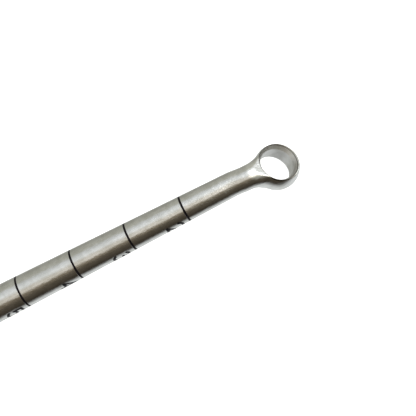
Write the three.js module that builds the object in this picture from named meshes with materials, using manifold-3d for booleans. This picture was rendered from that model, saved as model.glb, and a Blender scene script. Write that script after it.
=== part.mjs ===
// Garden dibber: a forged stainless steel spike with an offset hanging eye, inch marks cut as ring
// grooves and numerals, and black enamel filled into both. Millimetres, +Z up. The dibber lies on its
// side with the eye towards +X and the eye's front face upward.

import * as THREE from 'three';
import { mergeVertices } from 'three/addons/utils/BufferGeometryUtils.js';
import Module from 'manifold-3d';

const wasm = await Module();
wasm.setup();

// ---- Driving dimensions ----------------------------------------------------------------------------

const INCH = 25.4;
const OVERALL_LENGTH = 10 * INCH; // tip to the zero of the scale, at the outer end of the eye
const SHAFT_SIDES = 40;
const EYE_SIDES = 64;
const RIM_STEPS = 3; // facets from the middle of the ring's rim to each face

// Inch marks, counted from the outer end of the eye.
const FIRST_MARK = 2;
const LAST_MARK = 8;
const MID_MARK = 5;
const MID_MARK_RADIUS = 7;
const TAPER_PER_INCH = 0.475; // growth of the radius per inch, away from the eye

// Nose: a blunt point, a long swelling flank and the shoulder where the shaft is thickest.
const SHOULDER_INCH = 8.2;
const TIP_RADIUS = 1.4;
const FLANK_SWELL = 0.62; // where along the flank its control point sits
const FLANK_STEPS = 8;

// Eye: a thick barrel-shaped ring on an arm that is bent down from the shaft axis.
const EYE_BEND = THREE.MathUtils.degToRad(32);
const EYE_ARM = 10.3; // pivot of the bend to the centre of the bore
const BORE_FROM_END = 10.35;
const RING_OFFSET = 0.65; // the ring's own centre lies this far beyond the bore's
const RING_RADIUS = 9.55; // at mid-thickness, where the barrel is widest
const RING_FACE_RADIUS = 8.45;
const RING_THICKNESS = 9.1;
const RING_CORNER = 0.25;
const BORE_RADIUS = 7.2;
const FRONT_COUNTERSINK = { width: 1.1, depth: 1.95 };
const BACK_COUNTERSINK = { width: 0.5, depth: 1 };

// Neck: the last stretch of the shaft, which bends, bows a little to one side and flares in plan. Its
// back thins into the ring, and its front is cut flush with the ring's face. Stretches are given as
// distances from the ring's centre.
const NECK_INCH = 1; // the taper ends here
const NECK_BEND_RADIUS = 10;
const NECK_FILLET = 14;
const NECK_END = 3.8; // where the flared neck ends inside the ring
const NECK_FRONT = 5.3; // height of its section at the front where it enters the ring
const SWELLING = [20, 10.5];
const NECK_BACK = 4.45; // and at the back
const THINNING = [15, 8];
const FACING_DEPTH = 0.03; // how far the cut goes into the ring's face
const NECK_BOW = 0.5; // towards -Y
const BOW_START = [21, 14];
const BOW_END = [12, 6];

// Marks: ring grooves and numerals with enamel in them.
const GROOVE_WIDTH = 0.85;
const GROOVE_DEPTH = 0.3;
const ENAMEL_GAP = 0.03; // clearance between the enamel and the walls of its groove
const ENAMEL_SUNK = 0.03; // how far the enamel stays below the steel surface
const NUMERAL_HEIGHT = 8;
const NUMERAL_WIDTH = 5.3;
const NUMERAL_STROKE = 1.25;
const NUMERAL_DEPTH = 0.3;
const NUMERAL_FROM_MARK = 2.5; // mark to the top of its numeral

// ---- Materials -------------------------------------------------------------------------------------

const STEEL = new THREE.MeshStandardMaterial({ color: 0xb4b2ac, metalness: 1, roughness: 0.32 });
const ENAMEL = new THREE.MeshStandardMaterial({ color: 0x131112, metalness: 0, roughness: 0.45 });

// ---- Positions along the straight shaft axis, measured from the tip ---------------------------------

const inchToAxial = (inch) => OVERALL_LENGTH - inch * INCH;
const shaftRadius = (axial) => MID_MARK_RADIUS + TAPER_PER_INCH * (inchToAxial(MID_MARK) - axial) / INCH;

const BORE_CENTRE_AXIAL = OVERALL_LENGTH - BORE_FROM_END;
const PIVOT_AXIAL = BORE_CENTRE_AXIAL - EYE_ARM * Math.cos(EYE_BEND);
const BEND_TANGENT = NECK_BEND_RADIUS * Math.tan(EYE_BEND / 2);
const BEND_START = PIVOT_AXIAL - BEND_TANGENT;
const BEND_LENGTH = NECK_BEND_RADIUS * EYE_BEND;
const RING_AXIAL = BEND_START + BEND_LENGTH + EYE_ARM - BEND_TANGENT + RING_OFFSET; // along the bent axis
const neckRadius = (axial) => shaftRadius(Math.min(axial, inchToAxial(NECK_INCH)));
const BORE_CENTRE = new THREE.Vector3(BORE_CENTRE_AXIAL, 0, -EYE_ARM * Math.sin(EYE_BEND));

// ---- Solids ----------------------------------------------------------------------------------------

function toSolid(geometry) {
  const bare = geometry.clone();
  bare.deleteAttribute('normal');
  bare.deleteAttribute('uv');
  const merged = mergeVertices(bare, 1e-5);
  const vertProperties = new Float32Array(merged.attributes.position.array);
  const triVerts = new Uint32Array(merged.index.array);
  return new wasm.Manifold(new wasm.Mesh({ numProp: 3, vertProperties, triVerts }));
}

function toGeometry(solid) {
  const { vertProperties, triVerts } = solid.getMesh();
  const geometry = new THREE.BufferGeometry();
  geometry.setAttribute('position', new THREE.BufferAttribute(vertProperties, 3));
  geometry.setIndex(new THREE.BufferAttribute(triVerts, 1));
  geometry.computeVertexNormals();
  return geometry;
}

// A solid of revolution about +X. Profile points are (radius, axial).
function turned(points, sides) {
  const profile = points.map(([radius, axial]) => new THREE.Vector2(radius, axial));
  return new THREE.LatheGeometry(profile, sides).rotateZ(-Math.PI / 2);
}

// Points of a circular corner from one angle to another, as (radius, axial) pairs.
function corner(radius, axial, size, from, to, steps) {
  const points = [];
  for (let i = 0; i <= steps; i += 1) {
    const angle = from + (to - from) * i / steps;
    points.push([radius + size * Math.cos(angle), axial + size * Math.sin(angle)]);
  }
  return points;
}

// ---- Shaft with its nose, ring grooves and bent neck -------------------------------------------------

function noseProfile() {
  const shoulder = inchToAxial(SHOULDER_INCH);
  const shoulderRadius = shaftRadius(shoulder);
  const flankAngle = Math.atan2(shoulderRadius, shoulder) * 1.35;
  const contact = new THREE.Vector2(
    TIP_RADIUS * Math.cos(flankAngle),
    TIP_RADIUS * (1 - Math.sin(flankAngle)),
  );
  const controlAxial = shoulder * FLANK_SWELL;
  const control = new THREE.Vector2(shaftRadius(controlAxial), controlAxial);
  control.x = Math.min(control.x, contact.x + (controlAxial - contact.y) * Math.tan(flankAngle));
  const flank = new THREE.QuadraticBezierCurve(
    contact, control, new THREE.Vector2(shoulderRadius, shoulder),
  );
  const tip = corner(0, TIP_RADIUS, TIP_RADIUS, -Math.PI / 2, -flankAngle, 3);
  tip[0] = [0, 0];
  return [...tip, ...flank.getPoints(FLANK_STEPS).slice(1).map((p) => [p.x, p.y])];
}

function grooveProfile(inch) {
  const start = inchToAxial(inch) - GROOVE_WIDTH / 2;
  const end = start + GROOVE_WIDTH;
  return [
    [shaftRadius(start), start],
    [shaftRadius(start) - GROOVE_DEPTH, start],
    [shaftRadius(end) - GROOVE_DEPTH, end],
    [shaftRadius(end), end],
  ];
}

// How far a change is complete, 0 to 1, over a stretch given as distances from the ring's centre.
const progress = (fromRing, [from, to]) => 1 - THREE.MathUtils.smoothstep(fromRing, to, from);

// Half-width of the neck in plan: the shaft's own, then a fillet that flares out to the ring.
function neckHalfWidth(fromRing) {
  const centreSide = neckRadius(RING_AXIAL) + NECK_FILLET;
  const centreAlong = Math.sqrt((RING_RADIUS + NECK_FILLET) ** 2 - centreSide ** 2);
  const ringContact = centreAlong * RING_RADIUS / (RING_RADIUS + NECK_FILLET);
  const along = centreAlong - Math.max(fromRing, ringContact);
  if (along <= 0) return neckRadius(RING_AXIAL - fromRing);
  return centreSide - Math.sqrt(NECK_FILLET ** 2 - along ** 2);
}

function neckProfile() {
  const points = [];
  for (let fromRing = BOW_START[0]; fromRing > NECK_END; fromRing -= 1) {
    points.push([neckHalfWidth(fromRing), RING_AXIAL - fromRing]);
  }
  const end = RING_AXIAL - NECK_END;
  points.push([neckHalfWidth(NECK_END), end], [0, end]);
  return points;
}

// Give the section of the neck its heights at the front and back, bow the neck to its side, then bend
// its axis downward.
function shapeNeck(geometry) {
  const positions = geometry.attributes.position;
  for (let i = 0; i < positions.count; i += 1) {
    const axial = positions.getX(i);
    const fromRing = RING_AXIAL - axial;
    const [end, stretch] = positions.getZ(i) > 0 ? [NECK_FRONT, SWELLING] : [NECK_BACK, THINNING];
    const reach = THREE.MathUtils.lerp(neckRadius(axial), end, progress(fromRing, stretch));
    const height = positions.getZ(i) * reach / neckHalfWidth(fromRing);
    const bow = NECK_BOW * progress(fromRing, BOW_START) * (1 - progress(fromRing, BOW_END));
    const turn = THREE.MathUtils.clamp((axial - BEND_START) / NECK_BEND_RADIUS, 0, EYE_BEND);
    const beyond = Math.max(axial - BEND_START - BEND_LENGTH, 0);
    const outward = (NECK_BEND_RADIUS + height) * Math.sin(turn) + beyond * Math.cos(turn);
    const upward = (NECK_BEND_RADIUS + height) * Math.cos(turn) - beyond * Math.sin(turn);
    positions.setXYZ(
      i, Math.min(axial, BEND_START) + outward, positions.getY(i) - bow, upward - NECK_BEND_RADIUS,
    );
  }
  return geometry;
}

function shaftSolid() {
  const profile = noseProfile();
  for (let inch = LAST_MARK; inch >= FIRST_MARK; inch -= 1) profile.push(...grooveProfile(inch));
  profile.push(...neckProfile());
  return toSolid(shapeNeck(turned(profile, SHAFT_SIDES)));
}

// ---- Eye -------------------------------------------------------------------------------------------

// Turn a solid made about +X so that its axis is the bore's, and move it out along the arm.
function placeAtEye(geometry, beyondBore) {
  return geometry.rotateY(EYE_BEND - Math.PI / 2).translate(
    BORE_CENTRE.x + beyondBore * Math.cos(EYE_BEND), 0, BORE_CENTRE.z - beyondBore * Math.sin(EYE_BEND),
  );
}

// The ring before it is bored: flat faces, small corners and a crowned rim.
function eyeDisc() {
  const half = RING_THICKNESS / 2;
  const crown = RING_RADIUS - RING_FACE_RADIUS;
  const profile = [[0, -half], [RING_FACE_RADIUS - RING_CORNER, -half]];
  for (let i = -RIM_STEPS; i <= RIM_STEPS; i += 1) {
    const height = (half - RING_CORNER) * i / RIM_STEPS;
    profile.push([RING_RADIUS - crown * (height / half) ** 2, height]);
  }
  profile.push([RING_FACE_RADIUS - RING_CORNER, half], [0, half]);
  return toSolid(placeAtEye(turned(profile, EYE_SIDES), RING_OFFSET));
}

// Everything in front of the ring's face, over the ring and the neck.
function facingCutter() {
  const box = new THREE.BoxGeometry(RING_THICKNESS, 4 * RING_RADIUS, 4 * RING_RADIUS);
  return toSolid(placeAtEye(box.translate(RING_THICKNESS - FACING_DEPTH, 0, 0), 0));
}

// Bore with a countersink in each mouth, carried on past the face that it opens.
function boreCutter() {
  const half = RING_THICKNESS / 2;
  const front = FRONT_COUNTERSINK;
  const back = BACK_COUNTERSINK;
  const profile = [
    [0, -half - back.depth],
    [BORE_RADIUS + 2 * back.width, -half - back.depth],
    [BORE_RADIUS, back.depth - half],
    [BORE_RADIUS, half - front.depth],
    [BORE_RADIUS + 2 * front.width, half + front.depth],
    [0, half + front.depth],
  ];
  return toSolid(placeAtEye(turned(profile, EYE_SIDES), 0));
}

// ---- Numerals --------------------------------------------------------------------------------------

// A numeral is drawn by the middle line of its strokes, in a box of NUMERAL_WIDTH by NUMERAL_HEIGHT
// that is centred sideways and stands on y = 0.
const HALF = (NUMERAL_WIDTH - NUMERAL_STROKE) / 2;
const LOW = NUMERAL_STROKE / 2;
const HIGH = NUMERAL_HEIGHT - NUMERAL_STROKE / 2;
const BOWL = HALF; // radius of the lower bowl
const BOWL_Y = LOW + BOWL;
const UPPER_BOWL = (HIGH - LOW) / 2 - BOWL;
const UPPER_BOWL_Y = HIGH - UPPER_BOWL;
const line = (...xy) => ({ xy });
const arc = (x, y, radius, from, to) => ({ x, y, radius, from, to });

const NUMERALS = {
  2: [
    arc(0, HIGH - BOWL, BOWL, -38, 165),
    line(BOWL * 0.788, HIGH - BOWL * 1.616, -HALF, LOW), line(-HALF, LOW, HALF, LOW),
  ],
  3: [arc(0, UPPER_BOWL_Y, UPPER_BOWL, -90, 150), arc(0, BOWL_Y, BOWL, -150, 90)],
  4: [
    line(HALF * 0.45, LOW, HALF * 0.45, HIGH), line(HALF * 0.45, HIGH, -HALF, BOWL_Y),
    line(-HALF, BOWL_Y, HALF, BOWL_Y),
  ],
  5: [
    line(-HALF * 0.8, HIGH, HALF * 0.85, HIGH), line(-HALF * 0.8, HIGH, -HALF * 0.8, BOWL_Y + BOWL * 0.6),
    arc(0, BOWL_Y, BOWL, -150, 143),
  ],
  6: [arc(0, BOWL_Y, BOWL, -180, 180), arc(HIGH - BOWL_Y - HALF, BOWL_Y, HIGH - BOWL_Y, 112, 180)],
  7: [line(-HALF, HIGH, HALF, HIGH), line(HALF, HIGH, -HALF * 0.3, LOW)],
  8: [arc(0, BOWL_Y, BOWL, -180, 180), arc(0, UPPER_BOWL_Y, UPPER_BOWL, -180, 180)],
};

// Outline of one stroke: a band with round ends, straight or along an arc.
function strokeShape(stroke, width) {
  const shape = new THREE.Shape();
  const half = width / 2;
  if (stroke.xy) {
    const [x0, y0, x1, y1] = stroke.xy;
    const heading = Math.atan2(y1 - y0, x1 - x0);
    shape.absarc(x0, y0, half, heading + Math.PI / 2, heading - Math.PI / 2, false);
    shape.absarc(x1, y1, half, heading - Math.PI / 2, heading + Math.PI / 2, false);
    return shape;
  }
  const { x, y, radius } = stroke;
  const from = THREE.MathUtils.degToRad(stroke.from);
  const to = THREE.MathUtils.degToRad(stroke.to);
  if (stroke.to - stroke.from >= 360) {
    shape.absarc(x, y, radius + half, 0, 2 * Math.PI, false);
    shape.holes.push(new THREE.Path().absarc(x, y, radius - half, 0, 2 * Math.PI, true));
    return shape;
  }
  const end = [x + radius * Math.cos(to), y + radius * Math.sin(to)];
  const start = [x + radius * Math.cos(from), y + radius * Math.sin(from)];
  shape.absarc(x, y, radius + half, from, to, false);
  shape.absarc(...end, half, to, to + Math.PI, false);
  shape.absarc(x, y, radius - half, to, from, true);
  shape.absarc(...start, half, from + Math.PI, from + 2 * Math.PI, false);
  return shape;
}

// A numeral's strokes as a prism that stands out of the shaft's -Y side: its top towards the eye,
// its left side upward, beside the mark that it belongs to.
function numeralPrism(inch, width) {
  const foot = inchToAxial(inch) - NUMERAL_FROM_MARK - NUMERAL_HEIGHT;
  const toShaft = new THREE.Matrix4().makeBasis(
    new THREE.Vector3(0, 0, -1), new THREE.Vector3(1, 0, 0), new THREE.Vector3(0, -1, 0),
  ).setPosition(foot, 0, 0);
  return NUMERALS[inch]
    .map((stroke) => new THREE.ExtrudeGeometry(strokeShape(stroke, width), {
      depth: 2 * MID_MARK_RADIUS, bevelEnabled: false, curveSegments: 5,
    }).applyMatrix4(toShaft))
    .map(toSolid)
    .reduce((joined, stroke) => joined.add(stroke));
}

// The stretch of shaft under a numeral, as a skin between two depths below the steel surface.
function shaftSkin(inch, depth, sunk) {
  const start = inchToAxial(inch) - NUMERAL_FROM_MARK - NUMERAL_HEIGHT - 1;
  const end = inchToAxial(inch) - 1;
  const profile = [
    [shaftRadius(start) - depth, start],
    [shaftRadius(start) - sunk, start],
    [shaftRadius(end) - sunk, end],
    [shaftRadius(end) - depth, end],
    [shaftRadius(start) - depth, start],
  ];
  return toSolid(turned(profile, SHAFT_SIDES));
}

const numeralPocket = (inch) => numeralPrism(inch, NUMERAL_STROKE)
  .intersect(shaftSkin(inch, NUMERAL_DEPTH, -1));

const numeralEnamel = (inch) => numeralPrism(inch, NUMERAL_STROKE - 2 * ENAMEL_GAP)
  .intersect(shaftSkin(inch, NUMERAL_DEPTH - ENAMEL_GAP, ENAMEL_SUNK));

// ---- Named parts -----------------------------------------------------------------------------------

const marks = Array.from({ length: LAST_MARK - FIRST_MARK + 1 }, (_, i) => FIRST_MARK + i);

function named(name, geometry, material) {
  const mesh = new THREE.Mesh(geometry, material);
  mesh.name = name;
  return mesh;
}

function forgedBody() {
  let body = shaftSolid().add(eyeDisc()).subtract(facingCutter()).subtract(boreCutter());
  for (const inch of marks) body = body.subtract(numeralPocket(inch));
  return named('forged_body', toGeometry(body), STEEL);
}

function ringEnamel(inch) {
  const start = inchToAxial(inch) - GROOVE_WIDTH / 2 + ENAMEL_GAP;
  const end = start + GROOVE_WIDTH - 2 * ENAMEL_GAP;
  const floor = GROOVE_DEPTH - ENAMEL_GAP;
  const profile = [
    [shaftRadius(start) - floor, start],
    [shaftRadius(start) - ENAMEL_SUNK, start],
    [shaftRadius(end) - ENAMEL_SUNK, end],
    [shaftRadius(end) - floor, end],
    [shaftRadius(start) - floor, start],
  ];
  return named(`ring_enamel_${inch}`, turned(profile, SHAFT_SIDES), ENAMEL);
}

// ---- Assembly, laid down so that the shoulder and the lower edge of the eye both touch the ground ----

// Height of the lowest vertex in one half of the body, and where along the shaft it is.
function lowestVertex(geometry, turn, keep) {
  const point = new THREE.Vector3();
  const lowest = new THREE.Vector3(0, 0, Infinity);
  const positions = geometry.attributes.position;
  for (let i = 0; i < positions.count; i += 1) {
    point.fromBufferAttribute(positions, i).applyMatrix4(turn);
    if (keep(point.x) && point.z < lowest.z) lowest.copy(point);
  }
  return lowest;
}

function restAngle(geometry) {
  const middle = OVERALL_LENGTH / 2;
  let angle = 0;
  for (let pass = 0; pass < 6; pass += 1) {
    const turn = new THREE.Matrix4().makeRotationY(angle);
    const nose = lowestVertex(geometry, turn, (x) => x < middle);
    const eye = lowestVertex(geometry, turn, (x) => x > middle);
    angle += Math.atan2(eye.z - nose.z, eye.x - nose.x);
  }
  return angle;
}

const body = forgedBody();
const dibber = new THREE.Group();
dibber.add(body);
for (const inch of marks) {
  dibber.add(ringEnamel(inch));
  dibber.add(named(`numeral_enamel_${inch}`, toGeometry(numeralEnamel(inch)), ENAMEL));
}
dibber.rotation.y = restAngle(body.geometry);

const box = new THREE.Box3().setFromObject(dibber, true);
const centre = box.getCenter(new THREE.Vector3());
dibber.position.set(-centre.x, -centre.y, -box.min.z);

const part = new THREE.Group();
part.add(dibber);
export default part;
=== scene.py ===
"""Looks of the garden dibber: a ground steel spike with a polished offset eye and black enamelled marks.

The fine meshes are worked out in shaft coordinates, in millimetres: `axial` runs from the tip to the
eye, `across` is the row's Y, and `out` points out of the eye's front face.
"""

import math

import bmesh
import bpy
import numpy as np
from mathutils import Matrix, Vector


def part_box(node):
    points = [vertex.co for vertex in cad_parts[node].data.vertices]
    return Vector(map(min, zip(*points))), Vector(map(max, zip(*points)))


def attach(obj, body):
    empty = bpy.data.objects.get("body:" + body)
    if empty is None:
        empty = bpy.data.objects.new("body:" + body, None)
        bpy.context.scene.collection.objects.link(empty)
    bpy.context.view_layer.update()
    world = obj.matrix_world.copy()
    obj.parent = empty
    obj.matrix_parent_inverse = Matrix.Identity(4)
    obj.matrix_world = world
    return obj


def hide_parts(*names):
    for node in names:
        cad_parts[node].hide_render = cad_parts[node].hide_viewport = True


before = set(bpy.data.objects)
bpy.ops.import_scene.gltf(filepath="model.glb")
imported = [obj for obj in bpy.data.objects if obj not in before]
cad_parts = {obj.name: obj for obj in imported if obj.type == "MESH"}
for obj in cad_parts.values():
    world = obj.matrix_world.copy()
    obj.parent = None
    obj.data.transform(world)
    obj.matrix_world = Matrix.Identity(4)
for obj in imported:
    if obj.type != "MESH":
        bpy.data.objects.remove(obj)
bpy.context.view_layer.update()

# ---- Driving dimensions, in millimetres, those of the CAD model but for the blends of the neck ------

MM = 0.001
INCH = 25.4
SCALE_ZERO = 10 * INCH
MARKS = range(2, 9)
MID_MARK = 5
MID_MARK_RADIUS = 7.0
TAPER = 0.475 / INCH

SHOULDER = SCALE_ZERO - 8.2 * INCH
TIP_RADIUS = 1.4
FLANK_SWELL = 0.62

NECK_START = SCALE_ZERO - INCH
BEND = math.radians(32)
BEND_RADIUS = 10.0
EYE_ARM = 10.3
BORE_FROM_END = 10.35
RING_OFFSET = 0.65
RING_RADIUS = 9.55
RING_FACE_RADIUS = 8.45
RING_HALF = 4.55
NECK_FRONT = 5.3  # the neck's height at the front where the ring's face plane cuts it
SWELLING = (14.5, 10.0)  # these stretches are distances from the ring's centre
WIDENING = (10.5, 5.5)
THINNING = (15.0, 8.0)
NECK_BOW = 0.5
BOW_START = (21.0, 14.0)
BOW_END = (12.0, 6.0)
BORE_RADIUS = 7.2
BORE_CORNER = (0.02, 0.06)  # out from the bore's wall, where the wall's finish gives way to the bevel's
FRONT_COUNTERSINK = (1.1, 1.95)  # width, depth
BACK_COUNTERSINK = (0.5, 1.0)

GROOVE_WIDTH = 0.85
GROOVE_DEPTH = 0.3
NUMERAL_HEIGHT = 8.0
NUMERAL_WIDTH = 5.3
NUMERAL_STROKE = 1.25
NUMERAL_DEPTH = 0.3
NUMERAL_FROM_MARK = 2.5

# Fineness and blends of the visual surface.
SIDES = 192
NET_STEP = 0.22
HEAD_START = NECK_START - 5
PLAN_FILLETS = (16.0, 12.0)  # towards -Y and +Y
EDGE_ROUND = 0.25
NUMERAL_GRID = 0.22


def mark_axial(inch):
    return SCALE_ZERO - inch * INCH


def cone_radius(axial):
    return MID_MARK_RADIUS + TAPER * (mark_axial(MID_MARK) - axial)


def shaft_radius(axial):
    return cone_radius(np.minimum(axial, NECK_START))


# ---- Placement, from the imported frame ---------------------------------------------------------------


def node_centre(name):
    low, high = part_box(name)
    return (low + high) / 2


first_mark = node_centre(f"ring_enamel_{MARKS[0]}")
last_mark = node_centre(f"ring_enamel_{MARKS[-1]}")
ALONG = (first_mark - last_mark).normalized()
ACROSS = Vector((0, 1, 0))
OUT = ALONG.cross(ACROSS)
TIP = first_mark - ALONG * mark_axial(MARKS[0]) * MM
SHAFT_AXES = Matrix((ALONG, ACROSS, OUT)).transposed()


def to_row(points):
    """Shaft coordinates in millimetres to the row frame in metres."""
    return np.asarray(points, float) * MM @ np.array(SHAFT_AXES).T + np.array(TIP)


# ---- Mesh building ----------------------------------------------------------------------------------


def make_object(name, points, faces):
    mesh = bpy.data.meshes.new(name)
    mesh.from_pydata([tuple(p) for p in to_row(points)], [], faces)
    obj = bpy.data.objects.new(name, mesh)
    bpy.context.scene.collection.objects.link(obj)
    return obj


def join_shapes(*shapes):
    """Several (points, faces) shapes as one, with nothing merged."""
    points, faces, offset = [], [], 0
    for some_points, some_faces in shapes:
        points.append(np.asarray(some_points, float))
        faces += [tuple(i + offset for i in face) for face in some_faces]
        offset += len(some_points)
    return np.concatenate(points), faces


def revolve(profile, closed=False):
    """A surface of revolution about the shaft axis from (axial, radius) points.

    A point of radius 0 becomes a pole. A closed profile comes back to its first point.
    """
    angles = np.arange(SIDES) * 2 * math.pi / SIDES
    points, rows = [], []
    for axial, radius in profile:
        start = len(points)
        if radius < 1e-9:
            points.append((axial, 0.0, 0.0))
            rows.append([start] * SIDES)
            continue
        points += [(axial, radius * math.cos(a), radius * math.sin(a)) for a in angles]
        rows.append(list(range(start, start + SIDES)))
    faces = []
    pairs = list(zip(rows, rows[1:] + rows[:1]))
    for here, there in pairs if closed else pairs[:-1]:
        for i in range(SIDES):
            j = (i + 1) % SIDES
            face = [here[i], there[i], there[j], here[j]]
            faces.append(tuple(dict.fromkeys(face)))
    return np.array(points), faces


def arc_points(centre, radius, start, end, steps):
    """Points of an arc in a profile, between two angles in radians."""
    angles = np.linspace(start, end, steps + 1)
    return [(centre[0] + radius * math.cos(a), centre[1] + radius * math.sin(a)) for a in angles]


def boolean(obj, cutter):
    """Cut the cutter out of obj and delete the cutter."""
    cut = obj.modifiers.new("cut", "BOOLEAN")
    cut.operation = "DIFFERENCE"
    cut.solver = "EXACT"
    cut.object = cutter
    evaluated = obj.evaluated_get(bpy.context.evaluated_depsgraph_get())
    result = bpy.data.meshes.new_from_object(evaluated)
    obj.modifiers.clear()
    obj.data = result
    bpy.data.objects.remove(cutter)


def smooth_by_angle(obj, degrees=20):
    """Smooth shading, with the edges sharp where the surface really turns."""
    work = bmesh.new()
    work.from_mesh(obj.data)
    bmesh.ops.remove_doubles(work, verts=work.verts, dist=1e-7)
    bmesh.ops.recalc_face_normals(work, faces=work.faces)
    for face in work.faces:
        face.smooth = True
    for edge in work.edges:
        edge.smooth = edge.calc_face_angle(0) < math.radians(degrees)
    work.to_mesh(obj.data)
    work.free()


# ---- Shaft: nose, grooves and taper -----------------------------------------------------------------


def nose_profile():
    """Round point, then a swelling flank up to the shoulder."""
    shoulder = (SHOULDER, cone_radius(SHOULDER))
    angle = math.atan2(shoulder[1], shoulder[0]) * 1.35
    contact = (TIP_RADIUS * (1 - math.sin(angle)), TIP_RADIUS * math.cos(angle))
    swell = SHOULDER * FLANK_SWELL
    knee = (swell, min(cone_radius(swell), contact[1] + (swell - contact[0]) * math.tan(angle)))
    ends = np.array([contact, knee, shoulder])
    t = np.linspace(0, 1, 40)[1:, None]
    flank = (1 - t) ** 2 * ends[0] + 2 * t * (1 - t) * ends[1] + t**2 * ends[2]
    tip = arc_points((TIP_RADIUS, 0), TIP_RADIUS, math.pi, math.pi / 2 + angle, 8)
    return [(0.0, 0.0)] + tip[1:] + [tuple(p) for p in flank]


def groove_profile(inch):
    """One ring groove with its edges broken by a small chamfer."""
    chamfer = 0.05
    half = GROOVE_WIDTH / 2
    steps = [(-half - chamfer, 0), (-half, chamfer), (-half, GROOVE_DEPTH)]
    steps += [(half, GROOVE_DEPTH), (half, chamfer), (half + chamfer, 0)]
    return [(mark_axial(inch) + a, cone_radius(mark_axial(inch) + a) - depth) for a, depth in steps]


def shaft_profile():
    profile = nose_profile()
    stations = {mark_axial(inch): groove_profile(inch) for inch in MARKS}
    lathe_end = HEAD_START - 0.3
    for axial in np.arange(SHOULDER + 1.5, lathe_end - 0.5, 1.0):
        if min(abs(axial - mark) for mark in stations) > 0.7:
            stations[axial] = [(axial, cone_radius(axial))]
    for axial in sorted(stations):
        profile += stations[axial]
    return profile + [(lathe_end, cone_radius(lathe_end))]


# ---- Neck and eye: one smooth skin, as a surface net round an implicit shape ------------------------

BORE_AXIAL = SCALE_ZERO - BORE_FROM_END
BEND_TANGENT = BEND_RADIUS * math.tan(BEND / 2)
BEND_START = BORE_AXIAL - EYE_ARM * math.cos(BEND) - BEND_TANGENT
BEND_LENGTH = BEND_RADIUS * BEND
BORE_ALONG = BEND_START + BEND_LENGTH + EYE_ARM - BEND_TANGENT  # along the bent axis
RING_ALONG = BORE_ALONG + RING_OFFSET


def smoothstep(value, start, end):
    t = np.clip((value - start) / (end - start), 0, 1)
    return t * t * (3 - 2 * t)


def progress(along, stretch):
    """How far a change is complete, 0 to 1, over a stretch given as distances from the ring's centre."""
    return smoothstep(along, RING_ALONG - stretch[0], RING_ALONG - stretch[1])


def plan_distance(along, across):
    """Distance to the head's plan outline: the neck's strip, the ring's circle and a fillet arc each side."""
    side = np.abs(across)
    ahead = along - RING_ALONG
    fillet = np.where(across < 0, *PLAN_FILLETS)
    centre_side = shaft_radius(NECK_START) + fillet
    centre_back = np.sqrt((RING_RADIUS + fillet) ** 2 - centre_side**2)
    arc = fillet - np.hypot(ahead + centre_back, centre_side - side)
    ring = np.hypot(ahead, side) - RING_RADIUS
    before_ring = ahead * centre_side + side * centre_back < 0
    return np.where(ahead > -centre_back, np.where(before_ring, arc, ring), side - shaft_radius(along))


def height_over_ring(along, height):
    """How far in front of the ring's middle plane a point lies once the axis is bent."""
    turn = BEND - np.clip((along - BEND_START) / BEND_RADIUS, 0, BEND)
    before = np.maximum(BEND_START - along, 0)
    return (BEND_RADIUS + height) * np.cos(turn) - BEND_RADIUS - before * math.sin(BEND)


def rounded_intersection(a, b, radius):
    corner = np.hypot(np.maximum(radius + a, 0), np.maximum(radius + b, 0))
    return np.minimum(-radius, np.maximum(a, b)) + corner


def head_field(along, across, height):
    """Signed distance, roughly, to the neck and ring before the axis is bent. Negative is inside.

    The section is round in the neck and becomes the ring's crowned rim. The plane of the ring's face
    cuts the front of the neck, which leaves a small flat beside the bore.
    """
    radius = shaft_radius(along)
    bow = NECK_BOW * progress(along, BOW_START) * (1 - progress(along, BOW_END))
    plan = plan_distance(along, across + bow)
    rim_flat = 1 - (RING_RADIUS - RING_FACE_RADIUS) / radius  # of the radius, on each side of the middle
    rim_height = RING_HALF / np.sqrt(1 - rim_flat**2)
    swollen = radius + (NECK_FRONT - radius) * progress(along, SWELLING)
    front = swollen + (rim_height - swollen) * progress(along, WIDENING)
    thinned = progress(along, THINNING)
    back = radius + (rim_height - radius) * thinned
    inward = np.maximum(plan + radius, 0) / radius
    rim = radius * (np.hypot(inward, height / np.where(height > 0, front, back)) - 1)
    back_face = radius + 0.9 + (RING_HALF - radius - 0.9) * thinned
    face = np.where(height > 0, height_over_ring(along, height) - RING_HALF, -height - back_face)
    return rounded_intersection(rim, face, EDGE_ROUND)


def onto_surface(points, field, rounds=4):
    """Newton steps that bring points onto the field's zero surface."""
    reach = 0.01
    for _ in range(rounds):
        value = field(*points.T)
        slope = np.stack([
            (field(*(points + step).T) - field(*(points - step).T)) / (2 * reach)
            for step in np.eye(3) * reach
        ], axis=1)
        points = points - slope * (value / np.maximum((slope**2).sum(1), 1e-6))[:, None]
    return points


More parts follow.
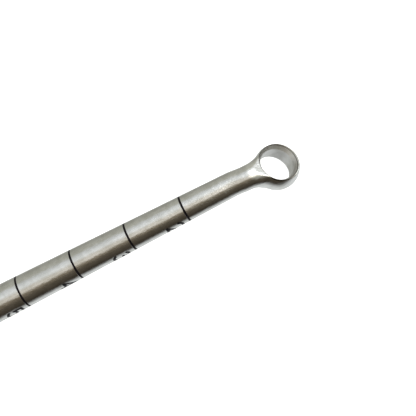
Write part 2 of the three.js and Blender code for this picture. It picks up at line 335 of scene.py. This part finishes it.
def surface_net(field, axes):
    """Quads round the zero surface of a field sampled on a grid, one vertex in each crossed cell."""
    values = field(*np.meshgrid(*axes, indexing="ij"))
    cells = np.array(values.shape) - 1
    total, count = np.zeros((*cells, 3)), np.zeros(cells)
    for axis in range(3):
        others = [i for i in range(3) if i != axis]
        for corner in ((0, 0), (0, 1), (1, 0), (1, 1)):
            low = [slice(0, n) for n in cells]
            for other, side in zip(others, corner):
                low[other] = slice(side, cells[other] + side)
            high = list(low)
            high[axis] = slice(1, cells[axis] + 1)
            a, b = values[tuple(low)], values[tuple(high)]
            crossed = (a < 0) != (b < 0)
            t = np.where(crossed, a / np.where(crossed, a - b, 1), 0)
            total[..., axis] += t
            for other, side in zip(others, corner):
                total[..., other] += np.where(crossed, side, 0)
            count += crossed
    used = count > 0
    index = np.full(tuple(cells), -1)
    index[used] = np.arange(used.sum())
    inside_cell = total[used] / count[used][:, None]
    corner_points = np.stack([axes[i][np.nonzero(used)[i]] for i in range(3)], axis=1)
    steps = np.array([axis[1] - axis[0] for axis in axes])
    points = corner_points + inside_cell * steps
    faces = []
    for axis in range(3):
        u, v = [i for i in range(3) if i != axis]
        low = [slice(1, n) for n in cells]
        low[axis] = slice(0, cells[axis])
        high = list(low)
        high[axis] = slice(1, cells[axis] + 1)
        a, b = values[tuple(low)], values[tuple(high)]
        base = np.argwhere((a < 0) != (b < 0)) + 1
        base[:, axis] -= 1
        step_u, step_v = np.eye(3, dtype=int)[u], np.eye(3, dtype=int)[v]
        around = [base - step_u - step_v, base - step_v, base, base - step_u]
        quads = np.stack([index[tuple(cell.T)] for cell in around], axis=1)
        faces += [tuple(int(i) for i in quad) for quad in quads]
    return points, faces


def bend_down(points):
    """Carry points from beside the straight axis to beside the bent one."""
    along, across, height = points.T
    turn = np.clip((along - BEND_START) / BEND_RADIUS, 0, BEND)
    beyond = np.maximum(along - BEND_START - BEND_LENGTH, 0)
    reach = BEND_RADIUS + height
    axial = np.minimum(along, BEND_START) + reach * np.sin(turn) + beyond * np.cos(turn)
    out = reach * np.cos(turn) - BEND_RADIUS - beyond * np.sin(turn)
    return np.stack([axial, across, out], axis=1)


BORE_CENTRE = bend_down(np.array([[BORE_ALONG, 0.0, 0.0]]))


def head_skin():
    """The neck and ring, still solid where the bore goes, open at HEAD_START. The open rim comes first."""
    margin = 2 * NET_STEP
    half_width = math.ceil((RING_RADIUS + margin) / NET_STEP) * NET_STEP
    half_height = math.ceil((RING_HALF + 1.5) / NET_STEP) * NET_STEP
    axes = [
        np.arange(HEAD_START, RING_ALONG + RING_RADIUS + margin, NET_STEP),
        np.linspace(-half_width, half_width, round(2 * half_width / NET_STEP)),
        np.linspace(-half_height, half_height, round(2 * half_height / NET_STEP)),
    ]
    points, faces = surface_net(head_field, axes)
    points = onto_surface(points, head_field)
    rim = points[:, 0] < HEAD_START + 0.999 * NET_STEP
    sides = {}
    for face in faces:
        for edge in zip(face, face[1:] + face[:1]):
            key = frozenset(edge)
            sides[key] = sides.get(key, 0) + 1
    open_rim = sorted({i for key, n in sides.items() if n == 1 for i in key})
    assert all(rim[i] for i in open_rim), "the head's skin is open somewhere other than at its start"
    points[open_rim, 0] = HEAD_START
    radial = np.hypot(points[open_rim, 1], points[open_rim, 2])
    points[open_rim, 1:] *= (shaft_radius(HEAD_START) / radial)[:, None]
    return bend_down(points), faces, open_rim


def zipper(points, left, right):
    """Triangles between two open loops round the shaft axis that have different numbers of points."""

    def by_angle(loop):
        angle = {i: math.atan2(points[i][2], points[i][1]) for i in loop}
        order = sorted(loop, key=angle.get)
        return order, [angle[i] for i in order]

    left, left_angles = by_angle(left)
    right, right_angles = by_angle(right)
    faces, i, j = [], 0, 0
    turn = 2 * math.pi
    while i < len(left) or j < len(right):
        next_left = left_angles[i + 1] if i + 1 < len(left) else left_angles[0] + turn
        next_right = right_angles[j + 1] if j + 1 < len(right) else right_angles[0] + turn
        a, b = left[i % len(left)], right[j % len(right)]
        if j >= len(right) or (i < len(left) and next_left <= next_right):
            faces.append((a, b, left[(i + 1) % len(left)]))
            i += 1
        else:
            faces.append((a, b, right[(j + 1) % len(right)]))
            j += 1
    return faces


def mouth_profile(countersink):
    """(height, radius) from the end of the straight bore out through a mouth, its edge slightly round."""
    width, depth = countersink
    slope = Vector((width, depth)).normalized()
    straight = RING_HALF - depth
    centre_height = RING_HALF + 0.01 - EDGE_ROUND
    centre_radius = BORE_RADIUS + (EDGE_ROUND + slope.x * (centre_height - straight)) / slope.y
    arc = arc_points((centre_radius, centre_height), EDGE_ROUND, math.pi - math.asin(slope.x), math.pi / 2, 6)
    mouth = [(height, radius) for radius, height in arc]
    return [(straight, BORE_RADIUS)] + mouth + [(RING_HALF + 2.5, centre_radius)]


def bore_cutter():
    """Bore with a countersink in each mouth."""
    back = [(-height, radius) for height, radius in reversed(mouth_profile(BACK_COUNTERSINK))]
    profile = back + mouth_profile(FRONT_COUNTERSINK)
    points, faces = revolve([(profile[0][0], 0.0)] + profile + [(profile[-1][0], 0.0)])
    height, side, up = points.T
    arm = np.array([math.cos(BEND), 0, -math.sin(BEND)])
    axis = np.array([math.sin(BEND), 0, math.cos(BEND)])
    placed = BORE_CENTRE + height[:, None] * axis + up[:, None] * arm + side[:, None] * np.array([0, 1.0, 0])
    return placed, faces


# ---- Numerals ---------------------------------------------------------------------------------------

HALF = (NUMERAL_WIDTH - NUMERAL_STROKE) / 2
LOW = NUMERAL_STROKE / 2
HIGH = NUMERAL_HEIGHT - NUMERAL_STROKE / 2
BOWL = HALF
BOWL_Y = LOW + BOWL
UPPER_BOWL = (HIGH - LOW) / 2 - BOWL
UPPER_BOWL_Y = HIGH - UPPER_BOWL


def stroke(x0, y0, x1, y1):
    """Distance to a straight stroke's middle line."""
    def distance(x, y):
        dx, dy = x1 - x0, y1 - y0
        t = np.clip(((x - x0) * dx + (y - y0) * dy) / (dx * dx + dy * dy), 0, 1)
        return np.hypot(x - x0 - t * dx, y - y0 - t * dy)
    return distance


def bow(x0, y0, radius, start, end):
    """Distance to the middle line of a stroke along an arc, between two angles in degrees."""
    middle = math.radians((start + end) / 2)
    reach = math.radians((end - start) / 2)

    def distance(x, y):
        angle = np.arctan2(y - y0, x - x0) - middle
        angle = (angle + math.pi) % (2 * math.pi) - math.pi
        nearest = middle + np.clip(angle, -reach, reach)
        return np.hypot(x - x0 - radius * np.cos(nearest), y - y0 - radius * np.sin(nearest))
    return distance


NUMERALS = {
    2: [bow(0, HIGH - BOWL, BOWL, -38, 165), stroke(-HALF, LOW, HALF, LOW),
        stroke(BOWL * 0.788, HIGH - BOWL * 1.616, -HALF, LOW)],
    3: [bow(0, UPPER_BOWL_Y, UPPER_BOWL, -90, 150), bow(0, BOWL_Y, BOWL, -150, 90)],
    4: [stroke(HALF * 0.45, LOW, HALF * 0.45, HIGH), stroke(HALF * 0.45, HIGH, -HALF, BOWL_Y),
        stroke(-HALF, BOWL_Y, HALF, BOWL_Y)],
    5: [stroke(-HALF * 0.8, HIGH, HALF * 0.85, HIGH), bow(0, BOWL_Y, BOWL, -150, 143),
        stroke(-HALF * 0.8, HIGH, -HALF * 0.8, BOWL_Y + BOWL * 0.6)],
    6: [bow(0, BOWL_Y, BOWL, -180, 180), bow(HIGH - BOWL_Y - HALF, BOWL_Y, HIGH - BOWL_Y, 112, 180)],
    7: [stroke(-HALF, HIGH, HALF, HIGH), stroke(HALF, HIGH, -HALF * 0.3, LOW)],
    8: [bow(0, BOWL_Y, BOWL, -180, 180), bow(0, UPPER_BOWL_Y, UPPER_BOWL, -180, 180)],
}


def filled_cells(field, xs, ys):
    """Flat polygons that fill the part of a grid where the field is negative."""
    values = field(*np.meshgrid(xs, ys, indexing="ij"))
    values = np.where(np.abs(values) < 0.02 * (xs[1] - xs[0]), 0.02 * (xs[1] - xs[0]), values)
    points, numbers, faces = [], {}, []

    def vertex(key, x, y):
        if key not in numbers:
            numbers[key] = len(points)
            points.append((x, y))
        return numbers[key]

    around = ((0, 0), (1, 0), (1, 1), (0, 1))
    for i in range(len(xs) - 1):
        for j in range(len(ys) - 1):
            face = []
            for (du, dv), (eu, ev) in zip(around, around[1:] + around[:1]):
                here, there = (i + du, j + dv), (i + eu, j + ev)
                a, b = values[here], values[there]
                if a < 0:
                    face.append(vertex(here, xs[here[0]], ys[here[1]]))
                if (a < 0) != (b < 0):
                    t = a / (a - b)
                    x = xs[here[0]] + t * (xs[there[0]] - xs[here[0]])
                    y = ys[here[1]] + t * (ys[there[1]] - ys[here[1]])
                    face.append(vertex(frozenset((here, there)), x, y))
            if len(face) > 2:
                faces.append(tuple(face))
    return np.array(points), faces


def numeral_shape(inch, half_stroke, top, bottom):
    """A numeral wrapped round the shaft's -Y side, between two depths below the steel surface."""
    def field(x, y):
        return np.minimum.reduce([line(x, y) for line in NUMERALS[inch]]) - half_stroke

    xs = np.arange(-NUMERAL_WIDTH / 2 - 0.3, NUMERAL_WIDTH / 2 + 0.5, NUMERAL_GRID)
    ys = np.arange(-0.3, NUMERAL_HEIGHT + 0.5, NUMERAL_GRID)
    flat, faces = filled_cells(field, xs, ys)
    axial = mark_axial(inch) - NUMERAL_FROM_MARK - NUMERAL_HEIGHT + flat[:, 1]
    surface = cone_radius(axial)
    angle = flat[:, 0] / surface

    def layer(depth):
        return np.stack([axial, -(surface - depth) * np.cos(angle), -(surface - depth) * np.sin(angle)], 1)

    edges = {}
    for face in faces:
        for edge in zip(face, face[1:] + face[:1]):
            edges[edge] = True
    n = len(flat)
    walls = [(a, b, b + n, a + n) for a, b in edges if (b, a) not in edges]
    under = [tuple(i + n for i in reversed(face)) for face in faces]
    return np.concatenate([layer(top), layer(bottom)]), faces + walls + under


# ---- Pieces -----------------------------------------------------------------------------------------


def body_piece():
    shaft_points, shaft_faces = revolve(shaft_profile())
    head_points, head_faces, open_rim = head_skin()
    points, faces = join_shapes((shaft_points, shaft_faces), (head_points, head_faces))
    lathe_end = list(range(len(shaft_points) - SIDES, len(shaft_points)))
    faces += zipper(points, lathe_end, [i + len(shaft_points) for i in open_rim])
    body = make_object("dibber_body", points, faces)
    smooth_by_angle(body)
    cutters = [bore_cutter()]
    cutters += [numeral_shape(inch, NUMERAL_STROKE / 2, -1.0, NUMERAL_DEPTH) for inch in MARKS]
    cutter = make_object("cutter", *join_shapes(*cutters))
    smooth_by_angle(cutter)
    boolean(body, cutter)
    smooth_by_angle(body)
    return body


def ring_fill(inch):
    """Enamel in one ring groove: its top is a shallow hollow, as paint dries."""
    half = GROOVE_WIDTH / 2 - 0.01
    hollow = [(a, 0.02 + 0.035 * (1 - (a / half) ** 2)) for a in np.linspace(-half, half, 7)]
    profile = [(-half, GROOVE_DEPTH - 0.01)] + hollow + [(half, GROOVE_DEPTH - 0.01)]
    middle = mark_axial(inch)
    points, faces = revolve([(middle + a, cone_radius(middle + a) - d) for a, d in profile], closed=True)
    return make_object(f"ring_fill_{inch}", points, faces)


def numeral_fill(inch):
    shape = numeral_shape(inch, NUMERAL_STROKE / 2 - 0.01, 0.03, NUMERAL_DEPTH - 0.01)
    return make_object(f"numeral_fill_{inch}", *shape)


def add_piece(piece, material, node):
    piece.data.materials.clear()
    piece.data.materials.append(material)
    smooth_by_angle(piece)
    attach(piece, "root")
    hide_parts(node)


# ---- Materials --------------------------------------------------------------------------------------


class Nodes:
    """A node tree with short ways to add and link nodes."""

    def __init__(self, owner):
        owner.use_nodes = True
        self.tree = owner.node_tree
        self.tree.nodes.clear()

    def add(self, kind, inputs=(), **settings):
        node = self.tree.nodes.new(kind)
        for key, value in settings.items():
            setattr(node, key, value)
        for key, value in dict(inputs).items():
            if isinstance(value, bpy.types.NodeSocket):
                self.tree.links.new(value, node.inputs[key])
            else:
                node.inputs[key].default_value = value
        return node

    def math(self, operation, a, b=0.0):
        return self.add("ShaderNodeMath", {0: a, 1: b}, operation=operation).outputs[0]

    def noise(self, vector, scale, detail=3.0, roughness=0.55):
        values = {"Vector": vector, "Scale": scale, "Detail": detail, "Roughness": roughness}
        return self.add("ShaderNodeTexNoise", values).outputs["Fac"]

    def map_range(self, value, start, end, low, high, kind="SMOOTHSTEP"):
        values = {"Value": value, "From Min": start, "From Max": end, "To Min": low, "To Max": high}
        return self.add("ShaderNodeMapRange", values, interpolation_type=kind).outputs[0]

    def mix(self, factor, a, b):
        node = self.add("ShaderNodeMix", {0: factor, 6: a, 7: b}, data_type="RGBA")
        return node.outputs[2]

    def ramp(self, value, stops):
        node = self.add("ShaderNodeValToRGB", {"Fac": value})
        ramp = node.color_ramp
        while len(ramp.elements) < len(stops):
            ramp.elements.new(1.0)
        for element, (position, colour) in zip(ramp.elements, stops):
            element.position = position
            element.color = (*colour, 1)
        return node.outputs["Color"]


def bore_distance(nodes, place):
    """Distance from the bore's axis, in metres."""
    centre = Vector(to_row(BORE_CENTRE)[0])
    axis = (SHAFT_AXES @ Vector((math.sin(BEND), 0, math.cos(BEND)))).normalized()
    offset = nodes.add("ShaderNodeVectorMath", {0: place, 1: centre}, operation="SUBTRACT").outputs[0]
    cross = nodes.add("ShaderNodeVectorMath", {0: offset, 1: axis}, operation="CROSS_PRODUCT").outputs[0]
    return nodes.add("ShaderNodeVectorMath", {0: cross}, operation="LENGTH").outputs["Value"]


def steel_material():
    """Forged stainless steel, polished over: mottled with shallow dents and pits.

    The bore is turned and less bright. A thin dark line of painted shade runs along the edge of its front
    bevel.
    """
    material = bpy.data.materials.new("forged_steel")
    nodes = Nodes(material)
    place = nodes.add("ShaderNodeTexCoord").outputs["Object"]
    from_axis = bore_distance(nodes, place)
    bevel_edge = (BORE_RADIUS + FRONT_COUNTERSINK[0]) * MM
    in_bore = nodes.map_range(from_axis, bevel_edge - 0.0001, bevel_edge, 1, 0)
    corner_start, corner_end = ((BORE_RADIUS + out) * MM for out in BORE_CORNER)
    on_bevel = nodes.map_range(from_axis, corner_start, corner_end, 0, 1)
    turned = nodes.map_range(on_bevel, 0, 1, 0.40, 0.45)
    stretched = nodes.add("ShaderNodeMapping", {"Vector": place, "Scale": (0.5, 1, 1)}).outputs[0]
    dents = nodes.noise(stretched, 650, 3)
    grain = nodes.noise(stretched, 2300, 2)
    stains = nodes.noise(place, 260, 5)
    polished = nodes.map_range(grain, 0.3, 0.7, 0.11, 0.20)
    roughness = nodes.add("ShaderNodeMix", {0: in_bore, 2: polished, 3: turned}).outputs[0]
    stained = nodes.map_range(stains, 0.35, 0.65, 0, 1)
    clean = nodes.mix(stained, (0.57, 0.565, 0.54, 1), (0.66, 0.655, 0.64, 1))
    # Painted shade: a thin dark line in the steel's colour along the outer edge of the front bevel, where the
    # polished edge would reflect dark.
    off_edge = nodes.math("ABSOLUTE", nodes.math("SUBTRACT", from_axis, bevel_edge + 0.00003))
    painted_edge_shade = nodes.map_range(off_edge, 0.00012, 0.00026, 0.85, 0)
    colour = nodes.mix(painted_edge_shade, clean, (0.07, 0.06, 0.05, 1))
    height = nodes.math("ADD", dents, nodes.math("MULTIPLY", grain, 0.35))
    bump = nodes.add("ShaderNodeBump", {"Height": height, "Strength": 1.0, "Distance": 0.00007})
    shader = nodes.add("ShaderNodeBsdfPrincipled", {
        "Base Color": colour, "Metallic": 1.0, "Roughness": roughness, "Normal": bump.outputs[0],
    })
    nodes.add("ShaderNodeOutputMaterial", {"Surface": shader.outputs[0]})
    return material


def enamel_material():
    """Black enamel: half gloss, slightly uneven, with dust-grey wear here and there."""
    material = bpy.data.materials.new("black_enamel")
    nodes = Nodes(material)
    place = nodes.add("ShaderNodeTexCoord").outputs["Object"]
    specks = nodes.noise(place, 2600, 4)
    dusty = nodes.map_range(specks, 0.55, 0.8, 0, 1)
    colour = nodes.mix(dusty, (0.004, 0.003, 0.004, 1), (0.02, 0.017, 0.018, 1))
    roughness = nodes.map_range(nodes.noise(place, 1200, 3), 0.3, 0.7, 0.32, 0.5)
    bump = nodes.add("ShaderNodeBump", {"Height": specks, "Strength": 0.6, "Distance": 0.00002})
    shader = nodes.add("ShaderNodeBsdfPrincipled", {
        "Base Color": colour, "Metallic": 0.0, "Roughness": roughness, "Normal": bump.outputs[0],
        "Specular IOR Level": 0.1,
    })
    nodes.add("ShaderNodeOutputMaterial", {"Surface": shader.outputs[0]})
    return material


# ---- Stage: camera, floor and soft light round the shaft --------------------------------------------


# The camera in shaft coordinates: its own three directions, and its place in millimetres from the
# middle mark.
CAMERA_LENS = 90.33
CAMERA_RIGHT = (0.88549, -0.39248, -0.24874)
CAMERA_UP = (0.45217, 0.85111, 0.26675)
CAMERA_BACK = (0.10702, -0.34868, 0.93111)
CAMERA_PLACE = (130.56, -152.92, 396.38)
FLOOR_DROP = 0.02 * MM
FLOOR_SIZE = 3.0


def add_camera():
    data = bpy.data.cameras.new("camera")
    data.lens = CAMERA_LENS
    data.sensor_width = 36
    camera = bpy.data.objects.new("camera", data)
    bpy.context.scene.collection.objects.link(camera)
    right, up, back = (SHAFT_AXES @ Vector(way) for way in (CAMERA_RIGHT, CAMERA_UP, CAMERA_BACK))
    axial, across, out = CAMERA_PLACE
    place = Vector(to_row([[mark_axial(MID_MARK) + axial, across, out]])[0])
    turn = Matrix((right, up, back)).transposed().to_4x4()
    camera.matrix_world = Matrix.Translation(place) @ turn
    bpy.context.scene.camera = camera


def add_floor():
    """White paper that glows a little and stays out of the steel's reflections."""
    mesh = bpy.data.meshes.new("floor")
    corners = [(-1, -1), (1, -1), (1, 1), (-1, 1)]
    points = [(x * FLOOR_SIZE, y * FLOOR_SIZE, -FLOOR_DROP) for x, y in corners]
    mesh.from_pydata(points, [], [(0, 1, 2, 3)])
    floor = bpy.data.objects.new("floor", mesh)
    bpy.context.scene.collection.objects.link(floor)
    material = bpy.data.materials.new("white_paper")
    nodes = Nodes(material)
    glow = nodes.add("ShaderNodeEmission", {"Color": (1, 1, 1, 1), "Strength": 0.85})
    paper = nodes.add("ShaderNodeBsdfDiffuse", {"Color": (0.6, 0.6, 0.6, 1)})
    both = nodes.add("ShaderNodeAddShader", {0: glow.outputs[0], 1: paper.outputs[0]})
    nodes.add("ShaderNodeOutputMaterial", {"Surface": both.outputs[0]})
    mesh.materials.append(material)
    floor.visible_glossy = False


OLIVE = (0.99, 1.0, 0.89)
COOL = (0.965, 1.0, 1.01)
CREAM = (1.0, 0.955, 0.86)
BROWN = (1.0, 0.84, 0.62)

# Light round the shaft's axis: degrees from straight up, positive towards -Y, the tint there and its
# brightness. The eye has a brighter top light of its own.
SHAFT_LIGHT = [
    (-180, COOL, 0.95),
    (-110, OLIVE, 0.40),
    (-50, OLIVE, 0.60),
    (-35, COOL, 0.80),
    (-5, COOL, 1.10),
    (15, CREAM, 0.80),
    (28, CREAM, 0.95),
    (42, BROWN, 0.30),
    (65, BROWN, 0.12),
    (112, BROWN, 0.05),
    (145, COOL, 0.90),
    (180, COOL, 0.95),
]
EYE_LIGHT = [
    (-180, COOL, 0.95),
    (-110, OLIVE, 0.50),
    (-50, OLIVE, 0.70),
    (-35, COOL, 1.20),
    (-20, COOL, 2.60),
    (25, CREAM, 2.60),
    (38, OLIVE, 0.75),
    (75, BROWN, 0.12),
    (112, BROWN, 0.06),
    (145, COOL, 0.90),
    (180, COOL, 0.95),
]


def studio_strip(nodes, turn, stops):
    return nodes.ramp(turn, [
        ((degrees + 180) / 360, tuple(brightness * part for part in tint))
        for degrees, tint, brightness in stops
    ])


def add_studio():
    world = bpy.data.worlds.new("studio")
    bpy.context.scene.world = world
    nodes = Nodes(world)
    direction = nodes.add("ShaderNodeTexCoord").outputs["Generated"]
    parts = nodes.add("ShaderNodeSeparateXYZ", {0: direction}).outputs
    towards_front = nodes.math("MULTIPLY", parts[1], -1.0)
    angle = nodes.math("ARCTAN2", towards_front, parts[2])
    turn = nodes.math("ADD", nodes.math("DIVIDE", angle, 2 * math.pi), 0.5)
    near_eye = nodes.map_range(parts[0], -0.05, 0.02, 0, 1)
    shaft_light = studio_strip(nodes, turn, SHAFT_LIGHT)
    light = nodes.mix(near_eye, shaft_light, studio_strip(nodes, turn, EYE_LIGHT))
    background = nodes.add("ShaderNodeBackground", {"Color": light, "Strength": 1.0})
    nodes.add("ShaderNodeOutputWorld", {"Surface": background.outputs[0]})


# ---- Scene ------------------------------------------------------------------------------------------

steel = steel_material()
enamel = enamel_material()
add_piece(body_piece(), steel, "forged_body")
for mark in MARKS:
    add_piece(ring_fill(mark), enamel, f"ring_enamel_{mark}")
    add_piece(numeral_fill(mark), enamel, f"numeral_enamel_{mark}")
add_camera()
add_floor()
add_studio()
bpy.context.scene.view_settings.view_transform = "Standard"
